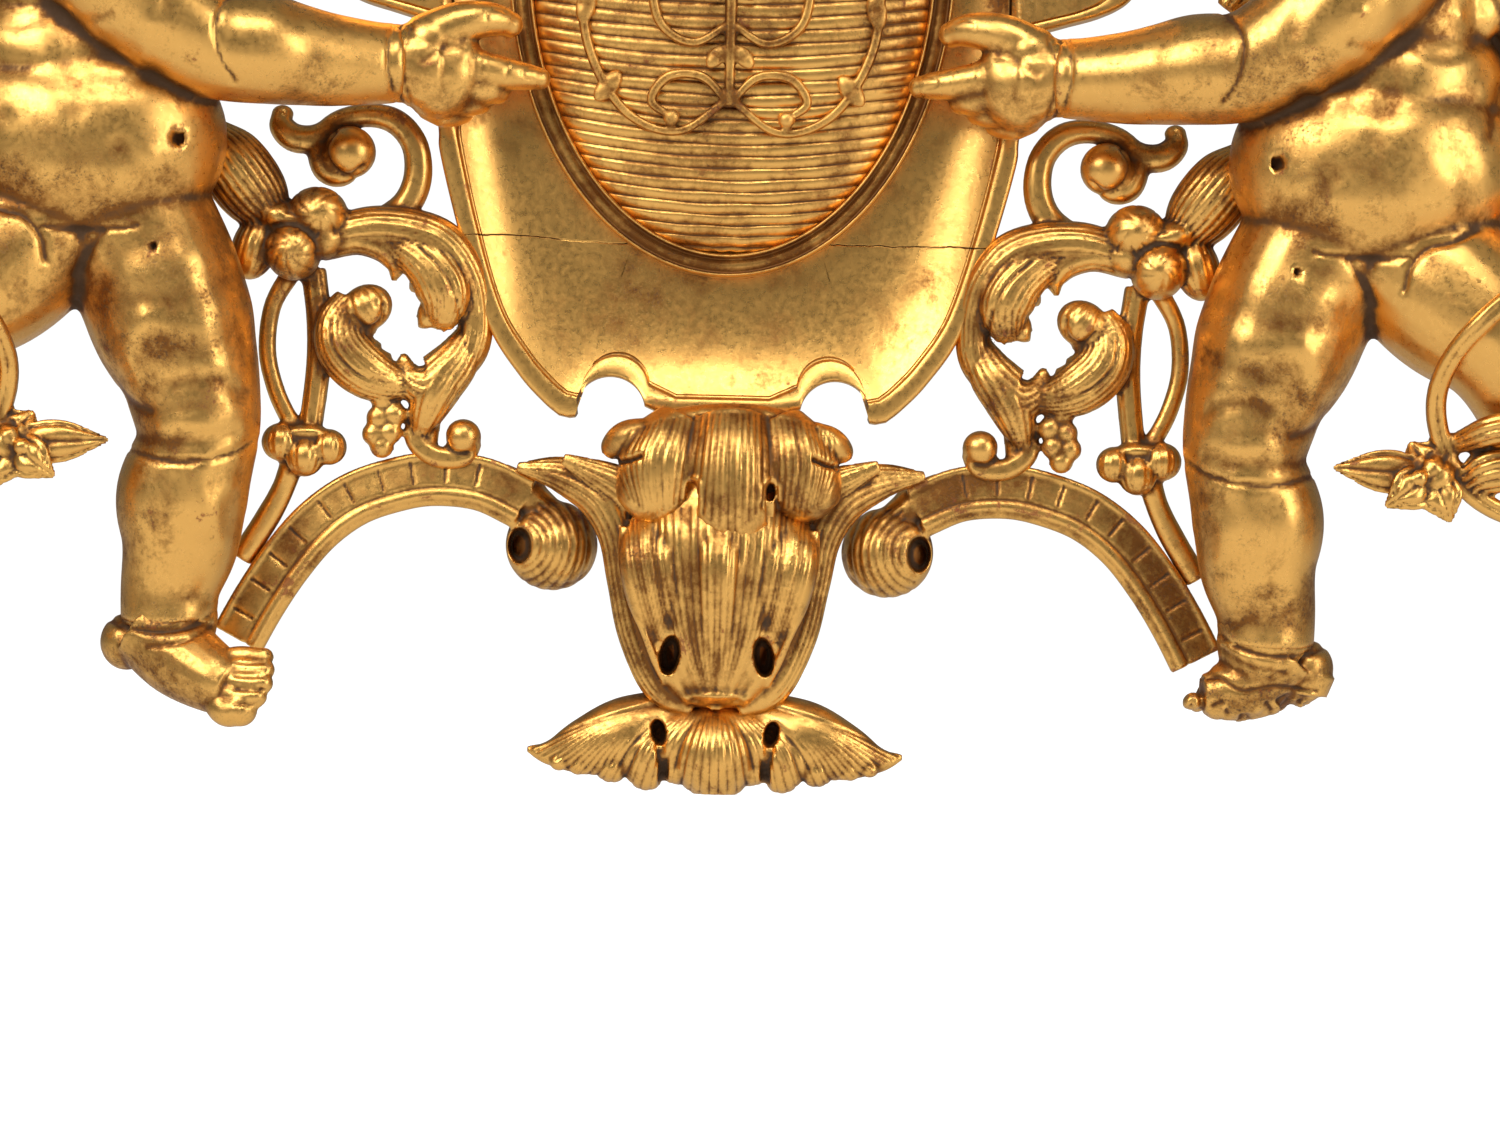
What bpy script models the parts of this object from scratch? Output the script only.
"""Carved and gilded wall plaque: two winged cherubs hold a dished cartouche above openwork scrolls.

Metres, +X to the viewer's right, +Z up. The wall is the plane Y = 0 and the carving faces -Y.
The origin is on the wall behind the centre of the oval. Free carving is drawn in small units:
u outwards from the middle line, v downwards, d out from the wall. Each drawing has one real
size that scales it, and an anchor on the piece that carries it.
"""

import math

import bmesh
import bpy
import numpy as np
from mathutils import Matrix, Vector

# Fits between pieces
JOINT_GAP = 0.0005

# Oval panel, its frame and the foliage on it
OVAL_HALF_WIDTH = 0.134
OVAL_HALF_HEIGHT = 0.190
FRAME_BAND = 0.014
FRAME_HEIGHT = 0.019
PANEL_CROWN = 0.030
REED_PITCH = 0.0075
REED_DEPTH = 0.0018
FOLIAGE_RADIUS = 0.0036

# Cartouche
SHIELD_HALF_WIDTH = 0.182
SHIELD_DROP = 0.274
SHIELD_RIM = 0.038
SHIELD_DISH = 0.022
RIM_BAND = 0.015
NOTCH_RADIUS = 0.021
NOTCH_OFFSET = 0.067
CREST_HEIGHT = 0.060

# Cherubs, from crown to standing heel
FIGURE_HEIGHT = 0.600
GRIP_HEIGHT = -0.0684
WING_LENGTH = 0.190

# Openwork, arches and garlands
SCROLL_HEIGHT = 0.210
VINE_RADIUS = 0.0066
ARCH_CROWN_X = 0.171
VOLUTE_X = 0.100
ARCH_CROWN_Z = -0.310
ARCH_WIDTH = 0.027
ARCH_DEPTH = 0.036
VOLUTE_RADIUS = 0.0285

# Finial
CAP_HEIGHT = 0.070
CALYX_HEIGHT = 0.114
CALYX_HALF_WIDTH = 0.064
PENDANT_HALF_SPAN = 0.110

# Cells of the grids in which carved blocks are fused
FINE_CELL = 0.0024
FIGURE_CELL = 0.0040

for old in list(bpy.data.objects):
    bpy.data.objects.remove(old)
parts = bpy.data.collections.new("cherub_wall_plaque")
cutters = bpy.data.collections.new("cutters")
bpy.context.scene.collection.children.link(parts)
bpy.context.scene.collection.children.link(cutters)


class Drawing:
    """Turns drawing units (u, v, d) into metres on one side of the plaque."""

    def __init__(self, unit, origin, anchor, side=1):
        self.unit = unit
        self.origin = origin
        self.anchor = anchor
        self.side = side

    def at(self, u, v, d=0.0):
        x = self.anchor[0] + (u - self.origin[0]) * self.unit
        z = self.anchor[1] - (v - self.origin[1]) * self.unit
        return Vector((self.side * x, -d * self.unit, z))


def smooth_rows(rows, steps=4):
    """Rows of numbers along a Catmull-Rom curve that passes through the given rows."""
    p = np.array(rows, float)
    p = np.vstack([2 * p[0] - p[1], p, 2 * p[-1] - p[-2]])
    out = []
    for i in range(1, len(p) - 2):
        a, b, c, d = p[i - 1 : i + 3]
        for t in np.linspace(0, 1, steps, endpoint=False):
            curve = 2 * b + (c - a) * t + (2 * a - 5 * b + 4 * c - d) * t * t
            out.append(0.5 * (curve + (3 * b - a - 3 * c + d) * t**3))
    out.append(p[-2])
    return np.array(out)


def sheet(bm, points):
    """A grid of faces through points[row][column]."""
    points = np.array(points, float)
    rows, columns = points.shape[:2]
    made = bmesh.ops.create_grid(bm, x_segments=columns - 1, y_segments=rows - 1, size=1.0)
    for vert, point in zip(made["verts"], points.reshape(-1, 3)):
        vert.co = point
    return made["verts"]


def spiral(centre, radii, start_deg, turns, depth, thick, count=14):
    """Rows u, v, d, radius of a flat scroll that winds in towards its centre."""
    rows = []
    for i in range(count + 1):
        t = i / count
        angle = math.radians(start_deg + 360 * turns * t)
        reach = radii[0] + (radii[1] - radii[0]) * t
        u = centre[0] + reach * math.cos(angle)
        v = centre[1] + reach * math.sin(angle)
        rows.append((u, v, depth, thick[0] + (thick[1] - thick[0]) * t))
    return rows


class Carving:
    """Overlapping closed shapes that are fused into one block of carved wood."""

    def __init__(self, drawing):
        self.drawing = drawing
        self.bm = bmesh.new()

    def ball(self, u, v, d, radii, turn=0.0):
        """An ellipsoid: radii across, down and out, turned in the drawing's plane."""
        across, down, out = [r * self.drawing.unit for r in radii]
        place = Matrix.Translation(self.drawing.at(u, v, d))
        place = place @ Matrix.Rotation(math.radians(turn) * self.drawing.side, 4, "Y")
        place = place @ Matrix.Diagonal((across, out, down, 1.0))
        bmesh.ops.create_icosphere(self.bm, subdivisions=3, radius=1.0, matrix=place)

    def limb(self, rows, flat=1.0, sides=12, steps=4):
        """A tapering limb along rows of u, v, d, radius; flat thins it away from the wall."""
        path = smooth_rows(rows, steps)
        centres = [self.drawing.at(*row[:3]) for row in path]
        radii = [max(float(row[3]), 0.5) * self.drawing.unit for row in path]
        last = len(centres) - 1
        rings = [[centres[0]] * (sides + 1)]
        for i, centre in enumerate(centres):
            along = (centres[min(i + 1, last)] - centres[max(i - 1, 0)]).normalized()
            toward = Vector((0.0, -1.0, 0.0))
            if abs(along.dot(toward)) > 0.9:
                toward = Vector((0.0, 0.0, 1.0))
            toward = (toward - along * toward.dot(along)).normalized()
            across = along.cross(toward)
            turns = [2 * math.pi * k / sides for k in range(sides + 1)]
            rings.append(
                [centre + radii[i] * (across * math.cos(a) + toward * flat * math.sin(a)) for a in turns]
            )
        rings.append([centres[-1]] * (sides + 1))
        sheet(self.bm, rings)

    def fused(self, name, cell, triangles, ease=2):
        """The shapes as one closed body with about the given number of triangles."""
        bmesh.ops.remove_doubles(self.bm, verts=self.bm.verts, dist=1e-6)
        bmesh.ops.recalc_face_normals(self.bm, faces=self.bm.faces)
        mesh = bpy.data.meshes.new(name)
        self.bm.to_mesh(mesh)
        self.bm.free()
        block = bpy.data.objects.new(name, mesh)
        parts.objects.link(block)
        fuse = block.modifiers.new("Fuse", "REMESH")
        fuse.mode = "VOXEL"
        fuse.voxel_size = cell
        soften = block.modifiers.new("Soften", "SMOOTH")
        soften.iterations = ease
        apply_modifiers(block)
        keep_largest(block)
        count = sum(len(face.vertices) - 2 for face in block.data.polygons)
        thin = block.modifiers.new("Facet", "DECIMATE")
        thin.ratio = min(1.0, triangles / count)
        apply_modifiers(block)
        return block


def apply_modifiers(block):
    bpy.context.view_layer.update()
    graph = bpy.context.evaluated_depsgraph_get()
    mesh = bpy.data.meshes.new_from_object(block.evaluated_get(graph))
    block.modifiers.clear()
    block.data = mesh


def keep_largest(block):
    """Deletes crumbs that hang on by less than an edge, so that the block stays one body."""
    bm = bmesh.new()
    bm.from_mesh(block.data)
    unseen = set(bm.faces)
    islands = []
    while unseen:
        stack = [unseen.pop()]
        island = set(stack)
        while stack:
            for edge in stack.pop().edges:
                for face in edge.link_faces:
                    if face in unseen:
                        unseen.discard(face)
                        island.add(face)
                        stack.append(face)
        islands.append(island)
    islands.sort(key=lambda faces: sum(f.calc_area() for f in faces), reverse=True)
    for island in islands[1:]:
        bmesh.ops.delete(bm, geom=list(island), context="FACES")
    bm.to_mesh(block.data)
    bm.free()


def facet(block):
    """Turns every face into triangles."""
    bm = bmesh.new()
    bm.from_mesh(block.data)
    bmesh.ops.triangulate(bm, faces=bm.faces)
    bm.to_mesh(block.data)
    bm.free()


def cutter_from(block, grow):
    """A copy of a block that stands proud of it by grow, kept among the cutters."""
    copy = bpy.data.objects.new(block.name + "_clearance", block.data.copy())
    cutters.objects.link(copy)
    copy.hide_render = True
    copy.display_type = "WIRE"
    swell = copy.modifiers.new("Clearance", "DISPLACE")
    swell.mid_level = 0.0
    swell.strength = grow
    apply_modifiers(copy)
    return copy


def subtract(block, cutter):
    cut = block.modifiers.new("Cut", "BOOLEAN")
    cut.operation = "DIFFERENCE"
    cut.object = cutter
    cut.solver = "MANIFOLD"
    apply_modifiers(block)
    keep_largest(block)
    facet(block)


def boxes_meet(a, b):
    lows = []
    highs = []
    for block in (a, b):
        points = np.array([block.matrix_world @ v.co for v in block.data.vertices])
        lows.append(points.min(axis=0))
        highs.append(points.max(axis=0))
    return bool((lows[0] < highs[1] + JOINT_GAP).all() and (lows[1] < highs[0] + JOINT_GAP).all())


def clear_of(block, *others):
    """Cuts the block back from its neighbours, with the joint gap between them."""
    for other in others:
        if boxes_meet(block, other):
            for grow in (JOINT_GAP, 0.0):
                cutter = cutter_from(other, grow)
                subtract(block, cutter)
                bpy.data.objects.remove(cutter)


def back_on_wall(block):
    """Planes the back off flat at the wall."""
    points = np.array([v.co for v in block.data.vertices])
    if points[:, 1].max() <= 0.0:
        return
    low = points.min(axis=0) - 0.01
    high = points.max(axis=0) + 0.01
    size = Vector((high[0] - low[0], high[1] + 0.01, high[2] - low[2]))
    centre = Vector(((low[0] + high[0]) / 2, size[1] / 2, (low[2] + high[2]) / 2))
    bm = bmesh.new()
    bmesh.ops.create_cube(bm, size=1.0, matrix=Matrix.Translation(centre) @ Matrix.Diagonal((*size, 1.0)))
    mesh = bpy.data.meshes.new("wall")
    bm.to_mesh(mesh)
    bm.free()
    wall = bpy.data.objects.new("wall", mesh)
    wall.hide_render = True
    wall.display_type = "WIRE"
    cutters.objects.link(wall)
    subtract(block, wall)
    bpy.data.objects.remove(wall)


def closed_loft(name, rings):
    """One body lofted through closed rings and capped at both ends."""
    bm = bmesh.new()
    points = [list(ring) + [ring[0]] for ring in rings]
    sheet(bm, points)
    bmesh.ops.remove_doubles(bm, verts=bm.verts, dist=1e-6)
    bmesh.ops.holes_fill(bm, edges=[e for e in bm.edges if e.is_boundary])
    bmesh.ops.recalc_face_normals(bm, faces=bm.faces)
    bmesh.ops.triangulate(bm, faces=bm.faces)
    mesh = bpy.data.meshes.new(name)
    bm.to_mesh(mesh)
    bm.free()
    block = bpy.data.objects.new(name, mesh)
    parts.objects.link(block)
    return block


def gild(block, colour, roughness=0.38, metallic=0.9):
    material = bpy.data.materials.new(block.name + "_finish")
    material.use_nodes = True
    shader = material.node_tree.nodes["Principled BSDF"]
    shader.inputs["Base Color"].default_value = (*colour, 1.0)
    shader.inputs["Roughness"].default_value = roughness
    shader.inputs["Metallic"].default_value = metallic
    block.data.materials.clear()
    block.data.materials.append(material)


BRIGHT_GOLD = (0.60, 0.36, 0.08)
WORN_GOLD = (0.44, 0.22, 0.05)
DARK_GOLD = (0.34, 0.17, 0.04)


def ellipse(half_width, half_height, y, count=64):
    turns = [2 * math.pi * k / count for k in range(count)]
    return [Vector((half_width * math.cos(a), y, half_height * math.sin(a))) for a in turns]


def half_outline():
    """The cartouche's edge from the bottom middle up its right side to the top middle."""
    wide = SHIELD_HALF_WIDTH
    drop = SHIELD_DROP
    notch_centre = (NOTCH_OFFSET, -0.985 * drop)
    notch = []
    for degrees in range(170, -11, -30):
        a = math.radians(degrees)
        x = notch_centre[0] + NOTCH_RADIUS * math.cos(a)
        notch.append((x, notch_centre[1] + NOTCH_RADIUS * math.sin(a)))
    edge = NOTCH_OFFSET + NOTCH_RADIUS
    tip = [(edge + 0.003, -drop), (edge + 0.0094, -0.995 * drop), (edge + 0.0185, -0.968 * drop)]
    side = [(0.667, -0.910), (0.769, -0.807), (0.865, -0.623), (0.94, -0.436), (0.95, -0.368), (1.0, -0.145)]
    ear = [(1.11, -0.123), (1.21, -0.103), (1.29, -0.075), (1.34, -0.03), (1.34, 0.03)]
    lower = [(0.0, -1.0 * drop), (0.16 * wide, -1.0 * drop)]
    lower += notch + tip
    lower += [(x * wide, z * drop) for x, z in side]
    lower += [(x * wide, z * drop) for x, z in ear]
    upper = [(x, -z) for x, z in reversed(lower)]
    return lower + upper


def cartouche():
    """The shield: a raised rim, a dished field and a flat seat for the oval."""
    right = half_outline()
    outline = right + [(-x, z) for x, z in reversed(right[1:-1])]

    def ring(inset, y, toward_oval=0.0):
        points = []
        for x, z in outline:
            reach = math.hypot(x, z)
            shrink = 1.0 - inset / reach
            seat = 1.0 / math.hypot(x / OVAL_HALF_WIDTH, z / OVAL_HALF_HEIGHT)
            share = shrink + (seat - shrink) * toward_oval
            points.append(Vector((x * share, y, z * share)))
        return points

    rim = -SHIELD_RIM
    dish = -SHIELD_DISH
    rings = [
        ring(0.003, 0.0),
        ring(0.0, rim * 0.55),
        ring(0.0015, rim),
        ring(RIM_BAND, rim + 0.001),
        ring(RIM_BAND, (rim + dish) / 2 + 0.003, 0.25),
        ring(RIM_BAND, dish, 0.78),
        ring(0.0, dish, 1.0),
    ]
    block = closed_loft("cartouche", rings)
    gild(block, BRIGHT_GOLD, 0.30)
    return block


def dome_y(x, z, grow=0.0):
    """The front of the bowed panel, without its reeds."""
    a = OVAL_HALF_WIDTH - FRAME_BAND + grow
    b = OVAL_HALF_HEIGHT - FRAME_BAND + grow
    inside = max(0.0, 1.0 - (x / a) ** 2 - (z / b) ** 2)
    return -(SHIELD_DISH + 0.55 * FRAME_HEIGHT + PANEL_CROWN * inside**0.6 + grow)


def oval_frame():
    """Two beads with a flat band between them, planted on the cartouche."""
    foot = -(SHIELD_DISH + JOINT_GAP)
    top = foot - FRAME_HEIGHT
    band = FRAME_BAND
    sections = [
        (0.0, foot),
        (0.0, top + 0.3 * FRAME_HEIGHT),
        (0.13 * band, top),
        (0.32 * band, top + 0.2 * FRAME_HEIGHT),
        (0.72 * band, top + 0.2 * FRAME_HEIGHT),
        (0.90 * band, top),
        (1.0 * band, top + 0.3 * FRAME_HEIGHT),
        (1.0 * band, foot),
        (0.0, foot),
    ]
    rings = [ellipse(OVAL_HALF_WIDTH - 0.001 - o, OVAL_HALF_HEIGHT - 0.001 - o, y, 44) for o, y in sections]
    block = closed_loft("oval_frame", rings)
    gild(block, WORN_GOLD)
    return block


def oval_panel():
    """The bowed panel: level reeds that sag a little towards the foot."""
    a = OVAL_HALF_WIDTH - 0.001 - FRAME_BAND - JOINT_GAP
    b = OVAL_HALF_HEIGHT - 0.001 - FRAME_BAND - JOINT_GAP
    reeds = int(2 * b / REED_PITCH)
    columns = 4
    rows = []
    back = -(SHIELD_DISH + JOINT_GAP)
    for i in range(2 * reeds + 1):
        z = -0.995 * b + 1.99 * b * i / (2 * reeds)
        half = a * math.sqrt(1 - (z / b) ** 2)
        sag = 0.10 * b * (1 - (z / b) ** 2) * (0.5 - 0.5 * z / b)
        groove = REED_DEPTH * (i % 2)
        row = []
        for k in range(columns):
            s = math.sin(math.radians(-90 + 180 * k / (columns - 1)))
            low = z - sag * (1 - s * s)
            row.append(Vector((half * s, dome_y(half * s, low) + groove, low)))
        flat_row = [Vector((row[0].x, back, row[0].z)), *row, Vector((row[-1].x, back, row[-1].z))]
        rows.append(flat_row)
    bm = bmesh.new()
    sheet(bm, rows)
    bmesh.ops.holes_fill(bm, edges=[e for e in bm.edges if e.is_boundary])
    bmesh.ops.recalc_face_normals(bm, faces=bm.faces)
    bmesh.ops.triangulate(bm, faces=bm.faces)
    mesh = bpy.data.meshes.new("oval_panel")
    bm.to_mesh(mesh)
    bm.free()
    block = bpy.data.objects.new("oval_panel", mesh)
    parts.objects.link(block)
    gild(block, WORN_GOLD, 0.34)
    return block


def panel_clearance():
    """A smooth solid that just covers the reeded panel, to cut the back of what lies on it."""
    grow = JOINT_GAP
    a = OVAL_HALF_WIDTH - FRAME_BAND
    b = OVAL_HALF_HEIGHT - FRAME_BAND
    rings = []
    for share in (1.02, 0.999, 0.93, 0.8, 0.6, 0.3, 0.05):
        count = 32
        ring = []
        for k in range(count):
            turn = 2 * math.pi * k / count
            x = a * share * math.cos(turn)
            z = b * share * math.sin(turn)
            ring.append(Vector((x, dome_y(x, z, grow) - 0.0006, z)))
        rings.append(ring)
    rings.insert(0, ellipse(a * 1.02, b * 1.02, 0.0, 32))
    block = closed_loft("panel_clearance", rings)
    return block


def oval_foliage():
    """A generic symmetric spray of leafy scrolls, planted on the reeds."""
    unit = OVAL_HALF_HEIGHT / 190
    thick = FOLIAGE_RADIUS / unit
    blocks = Carving(Drawing(unit, (0, 0), (0, 0)))

    def on_dome(points, scale=1.0, side=1):
        rows = []
        for u, v in points:
            depth = -dome_y(u * unit, -v * unit) / unit
            rows.append((side * u, v, depth + 0.7 * thick, thick * scale))
        return rows

    stem = [(0, -132), (0, -80), (0, -20), (0, 40), (0, 88)]
    blocks.limb(on_dome(stem, 1.1))
    for side in (1, -1):
        outer = [(0, 84), (30, 104), (62, 92), (84, 54), (88, 8), (82, -36), (66, -74), (44, -92)]
        inner = [(0, 40), (22, 52), (42, 40), (46, 12), (34, -6), (20, 2), (24, 18)]
        upper = [(0, -20), (20, -30), (34, -54), (30, -84), (14, -92), (8, -78)]
        lower = [(0, 88), (16, 72), (36, 72), (46, 86), (34, 96)]
        for path in (outer, inner, upper, lower):
            blocks.limb(on_dome(path, 1.0, side), sides=8)
        for u, v, length, turn in ((86, 30, 13, 80), (86, -14, 13, 95), (72, 78, 12, 50),
            (72, -62, 12, 120)):
            depth = -dome_y(u * unit, -v * unit) / unit
            blocks.ball(side * u, v, depth + 0.6 * thick, (length, 6, 4), side * turn)
        for u, v in ((8, 60), (8, 20), (8, -44), (8, -104)):
            depth = -dome_y(u * unit, -v * unit) / unit
            blocks.ball(side * u, v, depth + 0.7 * thick, (9, 5, 4), side * 50)
    block = blocks.fused("oval_foliage", FINE_CELL, 460, 1)
    cover = panel_clearance()
    subtract(block, cover)
    bpy.data.objects.remove(cover)
    gild(block, DARK_GOLD)
    return block


def figure_drawing(side):
    """Thousandths of the cherub's height, pinned where its hand grips the cartouche's edge."""
    return Drawing(FIGURE_HEIGHT / 1000, (303, 80), (SHIELD_HALF_WIDTH, GRIP_HEIGHT), side)


def cherub(name, side, foot_broken):
    body = Carving(figure_drawing(side))
    # Trunk
    body.ball(640, 150, 118, (138, 112, 96))
    body.ball(648, 90, 112, (118, 95, 88))
    body.ball(655, 10, 105, (92, 110, 84))
    body.ball(655, -62, 105, (112, 56, 66))
    body.ball(632, 232, 100, (112, 74, 84))
    # Head and hair, turned a little to the middle
    body.limb([(650, -100, 105, 44), (640, -160, 118, 42)])
    body.ball(628, -222, 124, (84, 96, 90))
    body.ball(620, -196, 142, (68, 62, 66))
    body.ball(588, -216, 198, (12, 14, 16))
    for turn in range(-60, 241, 30):
        a = math.radians(turn)
        body.ball(632 + 78 * math.cos(a), -232 - 78 * math.sin(a), 112, (30, 28, 34))
    for u in (590, 632, 672):
        body.ball(u, -296, 168, (28, 22, 26))
    # Arm that holds the cartouche
    arm = [
        (668, -92, 140, 62),
        (632, -38, 168, 69),
        (586, 14, 182, 65),
        (535, 52, 178, 57),
        (498, 70, 168, 54),
        (452, 73, 158, 54),
        (400, 80, 142, 47),
        (350, 82, 128, 41),
        (325, 80, 120, 39),
    ]
    body.limb(arm, sides=16)
    body.ball(286, 84, 112, (44, 46, 30))
    for reach, drop, depth in ((0, 0, 0), (8, 10, -3), (18, 20, -8), (34, 30, -14)):
        finger = [(272 + reach, 84 + drop, 112 + depth, 15), (236 + reach, 88 + drop, 108 + depth, 13)]
        finger += [(204 + reach, 92 + drop, 100 + depth, 11), (184 + reach, 90 + drop, 94 + depth, 8)]
        body.limb(finger, sides=8)
    body.limb([(292, 58, 118, 19), (262, 42, 116, 17), (236, 36, 108, 14), (220, 40, 102, 10)], sides=8)
    # Outer arm, lowered to hold the garland
    outer_arm = [
        (720, -70, 112, 56),
        (768, -24, 112, 55),
        (806, 34, 116, 48),
        (822, 84, 122, 43),
        (824, 136, 122, 38),
        (818, 176, 122, 32),
    ]
    body.limb(outer_arm, sides=12)
    body.ball(812, 204, 124, (32, 36, 26))
    # Standing leg
    leg = [
        (588, 232, 104, 82),
        (558, 296, 108, 83),
        (538, 346, 110, 80),
        (522, 392, 112, 69),
        (513, 436, 114, 62),
        (514, 460, 112, 59),
        (528, 508, 104, 65),
        (530, 556, 98, 58),
        (539, 600, 92, 49),
        (539, 636, 92, 48),
    ]
    body.limb(leg, sides=16)
    body.ball(516, 436, 142, (44, 36, 36))
    body.ball(584, 652, 78, (26, 28, 34))
    if foot_broken:
        body.limb([(550, 636, 90, 46), (524, 668, 92, 36), (496, 680, 96, 28), (478, 682, 98, 20)])
        body.limb([(580, 660, 82, 30), (578, 680, 82, 24)])
        body.limb([(540, 674, 90, 30), (506, 698, 92, 14)])
    else:
        body.limb([(552, 640, 92, 46), (524, 668, 110, 41), (486, 690, 134, 33), (470, 696, 144, 27)])
        body.ball(460, 702, 150, (20, 24, 18), 40)
        for u, v, d, r in ((464, 716, 158, 14), (450, 702, 160, 11), (444, 688, 158, 10),
            (443, 674, 152, 9)):
            body.limb([(486, 692, 136, 16), (u, v, d, r)], sides=8)
    # Raised leg, turned out
    leg = [
        (664, 246, 112, 78),
        (712, 286, 128, 82),
        (752, 322, 146, 74),
        (778, 360, 146, 62),
        (806, 410, 128, 58),
        (826, 462, 108, 52),
        (836, 512, 92, 40),
        (838, 540, 88, 36),
    ]
    body.limb(leg, sides=16)
    body.limb([(836, 540, 86, 34), (848, 566, 112, 32), (862, 584, 146, 28), (870, 592, 166, 20)])
    block = body.fused(name, FIGURE_CELL, 1200, 4)
    back_on_wall(block)
    gild(block, WORN_GOLD)
    return block


def wing(name, side, root, tips, width):
    """Overlapping flutes that fan down from the shoulder, flat against the wall."""
    unit = WING_LENGTH / 317
    anchor = figure_drawing(1).at(root[0], root[1])
    feathers = Carving(Drawing(unit, root, (anchor.x, anchor.z), side))
    for i, (u, v) in enumerate(tips):
        depth = 20 + 3 * i
        middle = ((root[0] + u) / 2, (root[1] + v) / 2)
        rows = [(root[0], root[1], depth + 8, 0.7 * width), (*middle, depth, width),
            (u, v, depth - 6, 0.45 * width)]
        feathers.limb(rows, flat=0.5, sides=8)
    block = feathers.fused(name, FINE_CELL * 1.4, 110, 1)
    back_on_wall(block)
    gild(block, BRIGHT_GOLD)
    return block


def volute_z():
    return ARCH_CROWN_Z - 1.4 * VOLUTE_RADIUS


def arch_line():
    """Rows x, z of the arch's middle line, from the volute to the cherub's foot."""
    foot = figure_drawing(1).at(478, 648)
    volute_top = (VOLUTE_X + 0.55 * VOLUTE_RADIUS, volute_z() + 0.92 * VOLUTE_RADIUS)
    inner = [(1.0, 1.0), (0.53, 0.18)]
    outer = [(0.0, 0.0), (0.21, 0.045), (0.42, 0.14), (0.61, 0.31), (0.77, 0.54), (0.90, 0.78), (1.0, 1.0)]
    span = foot.x - ARCH_CROWN_X
    fall = ARCH_CROWN_Z - foot.z
    reach = volute_top[0] - ARCH_CROWN_X
    dip = volute_top[1] - ARCH_CROWN_Z
    points = [(ARCH_CROWN_X + x * reach, ARCH_CROWN_Z + z * dip) for x, z in inner]
    points += [(ARCH_CROWN_X + x * span, ARCH_CROWN_Z - z * fall) for x, z in outer]
    return smooth_rows(points, 3)


def arch(name, side):
    """A flat band bent to an arch, a round rib under its edge and a snail volute at its inner end."""
    unit = 0.001
    carve = Carving(Drawing(unit, (0, 0), (0, 0), side))
    line = arch_line()
    half = ARCH_WIDTH / 2
    near = -0.25 * ARCH_DEPTH
    far = -ARCH_DEPTH
    rings = []
    for i, (x, z) in enumerate(line):
        ahead = line[min(i + 1, len(line) - 1)] - line[max(i - 1, 0)]
        normal = np.array([-ahead[1], ahead[0]]) / np.hypot(*ahead)
        top = (x + normal[0] * half, z + normal[1] * half)
        low = (x - normal[0] * half, z - normal[1] * half)
        corners = [(top, near), (top, 0.88 * far), (low, far), (low, near), (top, near)]
        rings.append([Vector((side * p[0], y, p[1])) for p, y in corners])
    for end in (0, -1):
        middle = sum(rings[end][:4], Vector()) / 4
        rings.insert(0 if end == 0 else len(rings), [middle] * 5)
    sheet(carve.bm, rings)
    rib = []
    for i, (x, z) in enumerate(line):
        ahead = line[min(i + 1, len(line) - 1)] - line[max(i - 1, 0)]
        normal = np.array([-ahead[1], ahead[0]]) / np.hypot(*ahead)
        rib.append(((x - normal[0] * half) / unit, -(z - normal[1] * half) / unit, -0.8 * far / unit, 5.0))
    carve.limb(rib, steps=1, sides=8)
    # Volute: a roll that winds in on itself
    reach = VOLUTE_RADIUS / unit
    centre = (VOLUTE_X / unit, -volute_z() / unit)
    roll = spiral(centre, (0.74 * reach, 0.2 * reach), -75, 1.35, 0.5 * -far / unit, (0.42 * reach,
        0.3 * reach))
    carve.limb(roll, sides=10, steps=1)
    carve.ball(centre[0], centre[1], 0.95 * -far / unit, (0.36 * reach, 0.36 * reach, 0.36 * reach))
    block = carve.fused(name, FINE_CELL, 320, 1)
    back_on_wall(block)
    gild(block, WORN_GOLD)
    return block


def scroll_drawing(side):
    """The openwork beside the cartouche: 350 units high, standing on the arch's crown."""
    foot = ARCH_CROWN_Z + 0.5 * ARCH_WIDTH
    return Drawing(SCROLL_HEIGHT / 350, (303, 463), (SHIELD_HALF_WIDTH, foot), side)


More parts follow.
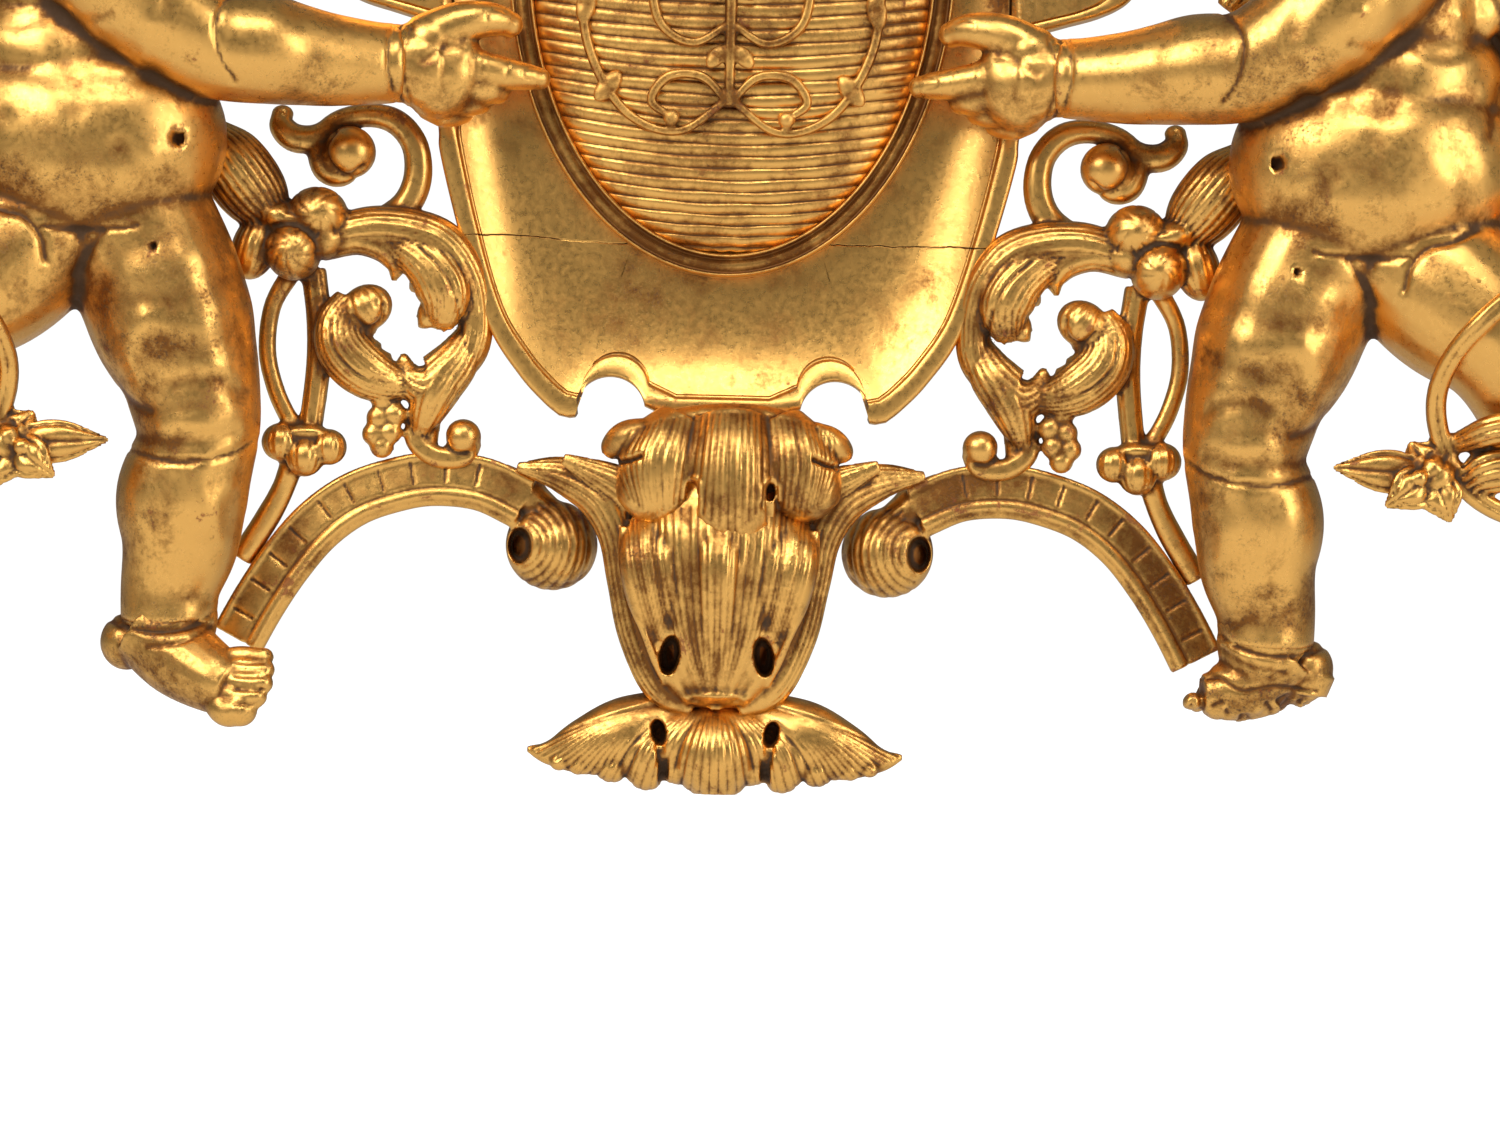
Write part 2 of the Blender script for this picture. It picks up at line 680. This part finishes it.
def scrollwork(name, side):
    work = Carving(scroll_drawing(side))
    # Fluted bud and the big flower under it
    work.limb([(512, 150, 70, 16), (492, 176, 66, 32), (472, 202, 60, 33), (452, 232, 56, 20),
        (436, 250, 52, 12)])
    work.ball(430, 232, 64, (46, 22, 34), -10)
    work.ball(404, 258, 66, (26, 36, 32), 20)
    work.ball(438, 266, 72, (28, 34, 34), -8)
    work.ball(468, 262, 60, (20, 32, 28), -20)
    # Upper scroll with its ball
    upper = [(360, 262, 50, 12), (345, 240, 50, 12), (318, 218, 50, 12), (308, 190, 50, 12),
        (312, 158, 50, 12)]
    upper += [(330, 136, 50, 12), (358, 130, 48, 11), (388, 138, 46, 11), (404, 158, 48, 11),
        (396, 182, 52, 12)]
    upper += [(374, 186, 56, 14)]
    work.limb(upper, sides=8)
    work.ball(376, 167, 60, (25, 25, 24))
    work.limb([(398, 146, 46, 12), (424, 158, 42, 11), (446, 146, 40, 8)], sides=8)
    # Acanthus scroll against the cartouche
    outer = [(404, 262, 60, 12), (366, 246, 58, 15), (326, 244, 56, 17), (284, 256, 54, 17),
        (258, 284, 52, 17)]
    outer += [(246, 322, 50, 16), (250, 358, 50, 14), (270, 386, 50, 12), (284, 420, 48, 10),
        (292, 456, 46, 10)]
    work.limb(outer, sides=8)
    work.ball(288, 288, 62, (17, 30, 18), 25)
    work.ball(284, 330, 62, (22, 20, 18), -10)
    work.limb([(366, 250, 58, 12), (350, 262, 62, 14), (338, 280, 62, 10), (330, 296, 60, 3)], sides=8)
    # Spiral leaf and its berries
    work.limb(spiral((356, 338), (26, 8), 60, -1.1, 60, (12, 12)), sides=8, steps=1)
    leaf = [(384, 318, 60, 12), (390, 348, 62, 18), (372, 376, 62, 20), (340, 392, 60, 18),
        (310, 392, 56, 14)]
    work.limb(leaf + [(284, 384, 52, 10), (262, 370, 50, 6)], sides=8)
    for u, v in ((336, 412), (326, 428), (340, 432), (328, 446), (338, 456)):
        work.ball(u, v, 60, (11, 11, 11))
    work.limb([(338, 394, 58, 9), (334, 430, 56, 8), (332, 466, 50, 9)], sides=8)
    # Small volute on the arch
    work.limb([(304, 430, 50, 9), (302, 456, 50, 11), (278, 468, 50, 12), (252, 464, 50, 12),
        (250, 444, 50, 10)], sides=8)
    work.ball(256, 448, 54, (17, 16, 17))
    # Twin stems and the lower flower
    work.limb([(426, 288, 56, 9), (446, 322, 50, 8), (450, 366, 50, 8), (440, 406, 52, 8),
        (424, 442, 54, 8)], sides=8)
    work.limb([(408, 284, 56, 12), (402, 330, 54, 11), (401, 380, 54, 11), (408, 446, 54, 11)], sides=8)
    for u, v, r in ((436, 456, 19), (412, 470, 20), (388, 460, 18)):
        work.ball(u, v, 62, (r, r, r))
    work.limb([(422, 466, 56, 12), (432, 498, 50, 10), (448, 530, 46, 10), (474, 572, 42, 9)], sides=8)
    block = work.fused(name, FINE_CELL, 700, 1)
    back_on_wall(block)
    gild(block, WORN_GOLD)
    return block


def garland(name, side):
    """The vine that winds round the raised leg, with its lily; drawn in the figure's units."""
    drawing = figure_drawing(side)
    vine = Carving(drawing)
    thick = VINE_RADIUS / drawing.unit
    loop = [(816, 206, 148), (812, 246, 190), (778, 272, 214), (734, 310, 222), (704, 348, 204)]
    loop += [(692, 388, 178), (700, 432, 168), (724, 474, 166), (764, 498, 160), (806, 500, 150)]
    vine.limb([(*point, thick) for point in loop], sides=8)
    vine.limb([(716, 430, 168, thick), (744, 418, 196, 15), (780, 412, 200, 14),
        (806, 410, 188, 6)], sides=8)
    vine.limb([(722, 470, 160, 12), (746, 456, 170, 24), (776, 452, 172, 20), (800, 452, 164, 8)], sides=8)
    vine.limb([(702, 436, 160, 9), (698, 450, 164, 16), (690, 464, 170, 26), (672, 474, 176, 12)], sides=8)
    petals = ((594, 457, 176), (644, 494, 190), (708, 508, 186), (668, 430, 170))
    for u, v, d in petals:
        petal = [(690, 462, 170, 14), ((690 + u) / 2, (462 + v) / 2, d, 22), (u, v, d - 4, 3)]
        vine.limb(petal, flat=0.4, sides=8)
    block = vine.fused(name, FINE_CELL, 240, 1)
    gild(block, WORN_GOLD)
    return block


def crest():
    """A low leaf crest over the cartouche's top edge."""
    unit = CREST_HEIGHT / 100
    leaf = Carving(Drawing(unit, (0, 0), (0, SHIELD_DROP)))
    leaf.limb([(0, 24, 50, 34), (0, -30, 56, 36), (0, -76, 50, 24), (0, -100, 70, 10)], flat=0.6)
    for side in (1, -1):
        leaf.limb([(side * 16, 20, 46, 26), (side * 52, -30, 50, 28), (side * 84, -44, 60, 12)], flat=0.6)
        leaf.limb([(side * 20, 24, 44, 22), (side * 80, 10, 44, 24), (side * 124, -2, 54, 12)], flat=0.6)
    block = leaf.fused("crest", FINE_CELL * 1.3, 140, 1)
    back_on_wall(block)
    gild(block, BRIGHT_GOLD)
    return block


def leaf_cap():
    """The folded leaf over the calyx: a rolled top and three drooping lobes."""
    unit = CAP_HEIGHT / 116
    leaf = Carving(Drawing(unit, (0, 423), (0, -SHIELD_DROP)))
    leaf.limb([(-96, 466, 92, 16), (-58, 446, 106, 24), (0, 442, 114, 26), (66, 446, 106, 24),
        (110, 464, 92, 16)])
    leaf.limb([(12, 440, 104, 30), (12, 470, 122, 42), (12, 502, 122, 34), (12, 522, 112, 16)], flat=0.7)
    for side in (1, -1):
        leaf.limb(
            [(side * 48, 446, 96, 24), (side * 70, 468, 108, 32), (side * 74, 494, 106, 24),
                (side * 68, 510, 98, 12)],
            flat=0.7,
        )
        leaf.ball(side * 104, 464, 92, (18, 16, 18))
    leaf.ball(0, 474, 70, (92, 40, 44))
    block = leaf.fused("leaf_cap", FINE_CELL, 260, 1)
    gild(block, WORN_GOLD)
    return block


def calyx():
    """The tulip-shaped boss, its two strap leaves and the pierced eyes."""
    unit = CALYX_HEIGHT / 190
    cup = Carving(Drawing(unit, (0, 423), (0, -SHIELD_DROP)))
    wide = CALYX_HALF_WIDTH / unit
    profile = ((462, 0.80), (500, 0.98), (540, 1.0), (570, 0.95), (610, 0.85), (650, 0.76),
        (680, 0.66), (704, 0.46))
    rings = []
    for v, share in profile:
        turns = [2 * math.pi * k / 24 for k in range(25)]
        rings.append([cup.drawing.at(wide * share * math.cos(a), v,
            66 + 74 * share * math.sin(a)) for a in turns])
    for end, v in ((0, 458), (-1, 712)):
        rings.insert(0 if end == 0 else len(rings), [cup.drawing.at(0, v, 66)] * 25)
    sheet(cup.bm, rings)
    for side in (1, -1):
        straps = [(side * 60, 520, 60, 34), (side * 108, 490, 60, 24), (side * 150, 478, 58, 17),
            (side * 200, 476, 60, 5)]
        cup.limb(straps, flat=0.6)
        cup.limb([(side * 80, 520, 78, 22), (side * 104, 490, 88, 18), (side * 154, 466, 84, 7)], flat=0.6)
        cup.limb([(side * 58, 520, 118, 16), (side * 80, 580, 112, 15), (side * 66, 650, 104, 13),
            (side * 46, 700, 90, 9)])
    cup.limb([(0, 480, 128, 18), (0, 560, 134, 17), (0, 640, 116, 14), (0, 704, 90, 10)])
    block = cup.fused("calyx", FINE_CELL, 330, 1)
    back_on_wall(block)
    pierce(block, cup.drawing, 46, 655, 100, (9, 19, 40), 14)
    gild(block, WORN_GOLD)
    return block


def pierce(block, drawing, u, v, d, radii, turn):
    """A pair of drop-shaped eyes sunk into a leaf."""
    for side in (1, -1):
        bm = bmesh.new()
        place = Matrix.Translation(drawing.at(side * u, v, d))
        place = place @ Matrix.Rotation(math.radians(side * turn), 4, "Y")
        across, down, out = [r * drawing.unit for r in radii]
        place = place @ Matrix.Diagonal((across, out, down, 1.0))
        bmesh.ops.create_icosphere(bm, subdivisions=2, radius=1.0, matrix=place)
        mesh = bpy.data.meshes.new("eye")
        bm.to_mesh(mesh)
        bm.free()
        eye = bpy.data.objects.new("eye", mesh)
        eye.hide_render = True
        eye.display_type = "WIRE"
        cutters.objects.link(eye)
        subtract(block, eye)
        bpy.data.objects.remove(eye)


def pendant_leaf():
    """The inverted leaf that ends the finial."""
    unit = PENDANT_HALF_SPAN / 182
    top = -SHIELD_DROP - (704 - 423) * CALYX_HEIGHT / 190
    leaf = Carving(Drawing(unit, (0, 704), (0, top)))
    leaf.limb([(0, 708, 62, 30), (0, 732, 66, 42), (0, 764, 86, 36), (0, 787, 96, 15)], flat=0.8)
    for side in (1, -1):
        wide_lobe = [(side * 34, 724, 62, 26), (side * 70, 726, 70, 30), (side * 112, 748, 76, 26)]
        leaf.limb(wide_lobe + [(side * 152, 760, 72, 15), (side * 180, 754, 66, 4)], flat=0.7)
        leaf.limb([(side * 40, 726, 64, 28), (side * 66, 752, 84, 28), (side * 80, 784, 88, 11)], flat=0.7)
        leaf.limb([(side * 60, 728, 64, 24), (side * 104, 758, 78, 22), (side * 126, 783, 80, 9)], flat=0.7)
    block = leaf.fused("pendant_leaf", FINE_CELL, 250, 1)
    back_on_wall(block)
    pierce(block, leaf.drawing, 55, 730, 112, (5, 13, 26), 12)
    gild(block, WORN_GOLD)
    return block


def main():
    shield = cartouche()
    frame = oval_frame()
    panel = oval_panel()
    foliage = oval_foliage()
    top = crest()
    clear_of(top, shield)
    cap = leaf_cap()
    clear_of(cap, shield)
    cup = calyx()
    clear_of(cup, shield, cap)
    tail = pendant_leaf()
    clear_of(tail, cup)
    for side, word in ((-1, "left"), (1, "right")):
        figure = cherub("cherub_" + word, side, foot_broken=side > 0)
        clear_of(figure, shield, frame, panel, foliage)
        inner_tips = [(486, -30), (492, 0), (520, 14), (556, 10)]
        outer_tips = [(800, 62), (776, 84), (744, 78), (716, 60)]
        inner = wing("wing_inner_" + word, side, (585, -128), inner_tips, 26)
        outer = wing("wing_outer_" + word, side, (712, -128), outer_tips, 26)
        clear_of(inner, figure, shield)
        clear_of(outer, figure, inner)
        band = arch("arch_" + word, side)
        clear_of(band, shield, cap, cup, tail, figure)
        work = scrollwork("scrollwork_" + word, side)
        clear_of(work, shield, figure, band)
        vine = garland("garland_" + word, side)
        clear_of(vine, figure, outer)


main()
